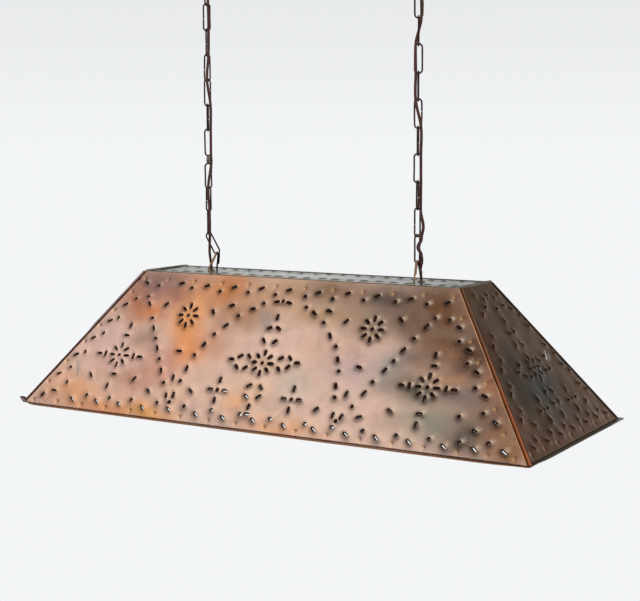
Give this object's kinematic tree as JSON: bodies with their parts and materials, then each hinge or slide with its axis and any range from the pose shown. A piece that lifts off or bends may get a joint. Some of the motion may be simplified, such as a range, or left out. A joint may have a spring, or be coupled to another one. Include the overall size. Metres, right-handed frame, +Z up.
{
  "type": "ceiling pendant lamp",
  "caption": "Long pierced copper pendant shade, a tapered trough open below, hung level from the ceiling on link chains with a flex beside each.",
  "frame": {"origin": "the ceiling plane, above the middle of the shade", "axes": "+X along the shade's length, +Y away from the viewer of the front panel, +Z up"},
  "size_m": [0.78, 0.3314, 0.6296],
  "materials": {
    "copper_sheet": "pinkish copper with heat patina, satin",
    "dark_copper_sheet": "copper darkened grey-brown, satin",
    "grey_copper_sheet": "copper weathered grey-green, satin",
    "seam_copper": "folded copper strip, orange-brown",
    "rim_copper": "folded copper rim, brown",
    "canopy_copper": "spun copper, satin",
    "hanger_wire": "bent copper wire, tan",
    "bronzed_steel": "dark bronze plate, worn",
    "joiner_metal": "bronze plate, brown",
    "plated_steel": "zinc plated",
    "brass_fitting": "turned brass",
    "bulb_cap_metal": "pressed screw cap",
    "brown_flex": "brown covered twin flex",
    "porcelain": "glazed, cream",
    "opal_glass": "opal"
  },
  "bodies": {
    "ceiling": {"canopy_left": "canopy_copper", "crossbar_left": "plated_steel", "ceiling_loop_left": "bronzed_steel", "flex_left_ceiling": "brown_flex", "canopy_right": "canopy_copper", "crossbar_right": "plated_steel", "ceiling_loop_right": "bronzed_steel", "flex_right_ceiling": "brown_flex"},
    "shade": {"hanger_left": "hanger_wire", "cord_nipple_left": "brass_fitting", "lampholder_left": "porcelain", "flex_left_shade": "brown_flex", "hanger_right": "hanger_wire", "cord_nipple_right": "brass_fitting", "lampholder_right": "porcelain", "flex_right_shade": "brown_flex", "front_panel": "copper_sheet", "back_panel": "copper_sheet", "left_end_panel": "dark_copper_sheet", "right_end_panel": "dark_copper_sheet", "top_panel": "grey_copper_sheet", "bottom_flange": "rim_copper", "corner_seam_front_left": "seam_copper", "corner_seam_front_right": "seam_copper", "corner_seam_back_left": "seam_copper", "corner_seam_back_right": "seam_copper"},
    "top_link_body_left": {"top_link_left": "bronzed_steel", "flex_left_top_link": "brown_flex"},
    "chain_body_left": {"chain_link_left_1": "bronzed_steel", "chain_link_left_2": "bronzed_steel", "chain_link_left_3": "bronzed_steel", "chain_link_left_4": "bronzed_steel", "chain_link_left_5": "bronzed_steel", "chain_link_left_6": "bronzed_steel", "chain_link_left_7": "bronzed_steel", "chain_link_left_8": "bronzed_steel", "chain_link_left_9": "bronzed_steel", "chain_joiner_left": "joiner_metal", "flex_left_chain": "brown_flex"},
    "last_link_body_left": {"last_link_left": "bronzed_steel", "flex_left_last_link": "brown_flex"},
    "bulb_body_left": {"bulb_left": "opal_glass", "bulb_cap_left": "bulb_cap_metal"},
    "top_link_body_right": {"top_link_right": "bronzed_steel", "flex_right_top_link": "brown_flex"},
    "chain_body_right": {"chain_link_right_1": "bronzed_steel", "chain_link_right_2": "bronzed_steel", "chain_link_right_3": "bronzed_steel", "chain_link_right_4": "bronzed_steel", "chain_link_right_5": "bronzed_steel", "chain_link_right_6": "bronzed_steel", "chain_link_right_7": "bronzed_steel", "chain_link_right_8": "bronzed_steel", "chain_link_right_9": "bronzed_steel", "flex_right_chain": "brown_flex"},
    "last_link_body_right": {"last_link_right": "bronzed_steel", "flex_right_last_link": "brown_flex"},
    "bulb_body_right": {"bulb_right": "opal_glass", "bulb_cap_right": "bulb_cap_metal"}
  },
  "joints": [
    {"name": "front_back_swing", "type": "hinge", "parent": "ceiling", "child": "top_link_body_left", "pos_m": [-0.168, 0, -0.0421], "axis": [-1, 0, 0], "range_deg": [-15, 15]},
    {"name": "side_swing", "type": "hinge", "parent": "top_link_body_left", "child": "chain_body_left", "pos_m": [-0.168, 0, -0.07615], "axis": [0, -1, 0], "range_deg": [-7, 7]},
    {"name": "last_link_left_swing", "type": "hinge", "parent": "chain_body_left", "child": "last_link_body_left", "pos_m": [-0.168, 0, -0.39355], "axis": [0, -1, 0], "range_deg": [-7, 7]},
    {"name": "shade_tilt", "type": "hinge", "parent": "last_link_body_left", "child": "shade", "pos_m": [-0.155, 0, -0.42115], "axis": [-1, 0, 0], "range_deg": [-12, 12]},
    {"name": "front_back_swing_right", "type": "hinge", "parent": "ceiling", "child": "top_link_body_right", "pos_m": [0.161, 0, -0.0421], "axis": [-1, 0, 0], "range_deg": [-15, 15]},
    {"name": "side_swing_right", "type": "hinge", "parent": "top_link_body_right", "child": "chain_body_right", "pos_m": [0.161, 0, -0.07615], "axis": [0, -1, 0], "range_deg": [-7, 7]},
    {"name": "last_link_right_swing", "type": "hinge", "parent": "chain_body_right", "child": "last_link_body_right", "pos_m": [0.161, 0, -0.38665], "axis": [0, -1, 0], "range_deg": [-7, 7]},
    {"name": "bulb_left_out", "type": "slide", "parent": "shade", "child": "bulb_body_left", "axis": [0, 0, -1], "range_m": [0, 0.07]},
    {"name": "bulb_right_out", "type": "slide", "parent": "shade", "child": "bulb_body_right", "axis": [0, 0, -1], "range_m": [0, 0.07]}
  ],
  "couplings": [
    {"joint": "last_link_left_swing", "follows": "side_swing", "ratio": -1},
    {"joint": "front_back_swing_right", "follows": "front_back_swing", "ratio": 1},
    {"joint": "side_swing_right", "follows": "side_swing", "ratio": 1},
    {"joint": "last_link_right_swing", "follows": "side_swing", "ratio": -1}
  ]
}
